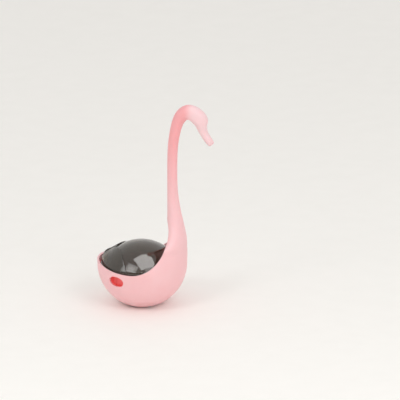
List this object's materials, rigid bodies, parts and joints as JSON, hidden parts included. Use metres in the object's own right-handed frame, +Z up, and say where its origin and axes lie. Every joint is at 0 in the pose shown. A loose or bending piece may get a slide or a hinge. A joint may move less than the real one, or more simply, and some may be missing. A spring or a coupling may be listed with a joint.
{
  "type": "treat dispensing toy",
  "caption": "Swan-necked tumbler toy that drops pet treats from an adjustable outlet in its round bowl, with a hinged smoked lid and a light in its beak.",
  "frame": {"origin": "middle of the flat foot under the bowl, on the floor", "axes": "+Z up; +X from the bowl axis towards the neck and beak; +Y to the toy's left"},
  "size_m": [0.1305, 0.1, 0.2333],
  "materials": {
    "shell": "matte moulded",
    "inner": "matte moulded",
    "smoke": "clear smoked, glossy",
    "steel": "plated",
    "brass": "plain",
    "iron": "as cast",
    "board": "solder mask",
    "black": "satin",
    "lens": "polished",
    "red": "insulation"
  },
  "bodies": {
    "housing": {"left_housing": "shell", "right_housing": "shell", "neck_bulkhead": "shell", "hinge_pin": "steel", "treat_cup": "inner", "base_cover": "shell", "base_screws": "steel", "button_cells": "steel", "top_contact": "brass", "counterweight": "iron", "circuit_board": "board", "board_screws": "steel", "driver_chip": "black", "vibration_switch": "brass", "capacitor": "black", "tact_switch": "black", "laser_barrel": "brass", "laser_lens": "lens", "laser_driver": "board", "red_lead": "red", "black_lead": "black"},
    "lid": {"lid_dome": "smoke", "tail_grip": "smoke"},
    "shutter": {"outlet_shutter": "inner"},
    "battery_door": {"battery_door": "shell", "door_contact": "brass"},
    "power_button": {"power_button": "inner"}
  },
  "joints": [
    {"name": "lid_hinge", "type": "hinge", "parent": "housing", "child": "lid", "pos_m": [0.022, 0, 0.06038], "axis": [0, 1, 0], "range_deg": [0, 70]},
    {"name": "shutter_slide", "type": "hinge", "parent": "housing", "child": "shutter", "pos_m": [0, 0, 0.03744], "axis": [0, 0, 1], "range_deg": [0, 28]},
    {"name": "battery_door_turn", "type": "hinge", "parent": "housing", "child": "battery_door", "pos_m": [0, 0, 0], "axis": [0, 0, 1], "range_deg": [0, 60]},
    {"name": "button_press", "type": "slide", "parent": "housing", "child": "power_button", "axis": [0, 0, 1], "range_m": [0, 0.0006], "stiffness_N_per_m": 300}
  ]
}
